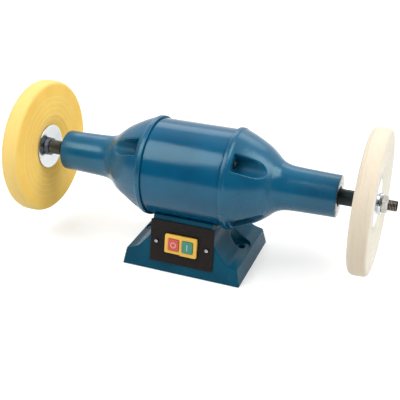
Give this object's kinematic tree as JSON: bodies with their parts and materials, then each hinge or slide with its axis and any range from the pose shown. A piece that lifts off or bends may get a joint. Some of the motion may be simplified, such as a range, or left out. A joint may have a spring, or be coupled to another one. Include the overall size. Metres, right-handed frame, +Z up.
{
  "type": "polishing machine",
  "caption": "Double-ended bench polisher: cast base with switch panel, motor with long tapered necks, and a stitched cotton buff on each end of the spindle.",
  "frame": {"origin": "middle of the base's underside, on the bench", "axes": "+X along the spindle towards the white wheel, -Y the front with the switch panel, +Z up"},
  "size_m": [0.5884, 0.2076, 0.2441],
  "materials": {
    "enamel": "semi-gloss machine enamel over a lightly textured casting",
    "zinc": "bright zinc plate",
    "polished_steel": "polished",
    "ground_steel": "turned, slightly browned",
    "black_steel": "black oxide, turned",
    "laminations": "stacked sheet edges",
    "copper": "varnished copper wire",
    "black_plastic": "fine grain",
    "yellow_plastic": "moulded",
    "red_plastic": "moulded",
    "green_plastic": "moulded",
    "grey_plastic": "moulded",
    "rubber": "moulded",
    "yellow_cotton": "stitched treated cotton discs",
    "white_cotton": "stitched cotton discs"
  },
  "bodies": {
    "machine_frame": {"base_casting": "enamel", "bottom_cover": "zinc", "capacitor": "grey_plastic", "capacitor_clamp": "zinc", "terminal_block": "grey_plastic", "cover_screw_front_left": "zinc", "cover_screw_front_right": "zinc", "cover_screw_rear_left": "zinc", "cover_screw_rear_right": "zinc", "motor_housing": "enamel", "end_bell_left": "enamel", "end_bell_right": "enamel", "stator_core": "laminations", "saddle_bolt_left": "zinc", "saddle_bolt_right": "zinc", "winding_left": "copper", "winding_right": "copper", "bearing_outer_left": "polished_steel", "bearing_outer_right": "polished_steel", "preload_washer_left": "zinc", "preload_washer_right": "zinc", "dust_seal_left": "rubber", "dust_seal_right": "rubber", "plate_screw_left": "zinc", "plate_screw_right": "zinc", "tie_bolt_1": "black_steel", "tie_bolt_2": "black_steel", "tie_bolt_3": "black_steel", "tie_bolt_4": "black_steel", "tie_nut_1": "black_steel", "tie_nut_2": "black_steel", "tie_nut_3": "black_steel", "tie_nut_4": "black_steel", "switch_plate": "black_plastic", "switch_bezel": "yellow_plastic", "switch_body": "black_plastic", "cable_gland": "black_plastic", "gland_locknut": "black_plastic"},
    "spindle": {"spindle_shaft": "ground_steel", "rotor_core": "laminations", "bearing_inner_left": "polished_steel", "spacer_sleeve_left": "black_steel", "jam_nut_left": "black_steel", "inner_flange_left": "polished_steel", "buff_left": "yellow_cotton", "outer_flange_left": "polished_steel", "outer_nut_left": "zinc", "bearing_inner_right": "polished_steel", "spacer_sleeve_right": "black_steel", "jam_nut_right": "black_steel", "inner_flange_right": "polished_steel", "buff_right": "white_cotton", "outer_flange_right": "polished_steel", "outer_nut_right": "zinc"},
    "ball_cage_left": {"ball_cage_left": "zinc"},
    "ball_cage_right": {"ball_cage_right": "zinc"},
    "stop_button": {"stop_button": "red_plastic"},
    "start_button": {"start_button": "green_plastic"}
  },
  "joints": [
    {"name": "spindle_spin", "type": "hinge", "parent": "machine_frame", "child": "spindle", "pos_m": [0, 0, 0.1403], "axis": [1, 0, 0], "continuous": true},
    {"name": "ball_cage_left_spin", "type": "hinge", "parent": "machine_frame", "child": "ball_cage_left", "pos_m": [0, 0, 0.1403], "axis": [1, 0, 0], "continuous": true},
    {"name": "ball_cage_right_spin", "type": "hinge", "parent": "machine_frame", "child": "ball_cage_right", "pos_m": [0, 0, 0.1403], "axis": [1, 0, 0], "continuous": true},
    {"name": "stop_button_press", "type": "slide", "parent": "machine_frame", "child": "stop_button", "axis": [0, 0.9848, -0.1736], "range_m": [0, 0.003], "stiffness_N_per_m": 800},
    {"name": "start_button_press", "type": "slide", "parent": "machine_frame", "child": "start_button", "axis": [0, 0.9848, -0.1736], "range_m": [0, 0.003], "stiffness_N_per_m": 800}
  ],
  "couplings": [
    {"joint": "ball_cage_left_spin", "follows": "spindle_spin", "ratio": 0.4},
    {"joint": "ball_cage_right_spin", "follows": "spindle_spin", "ratio": 0.4}
  ]
}
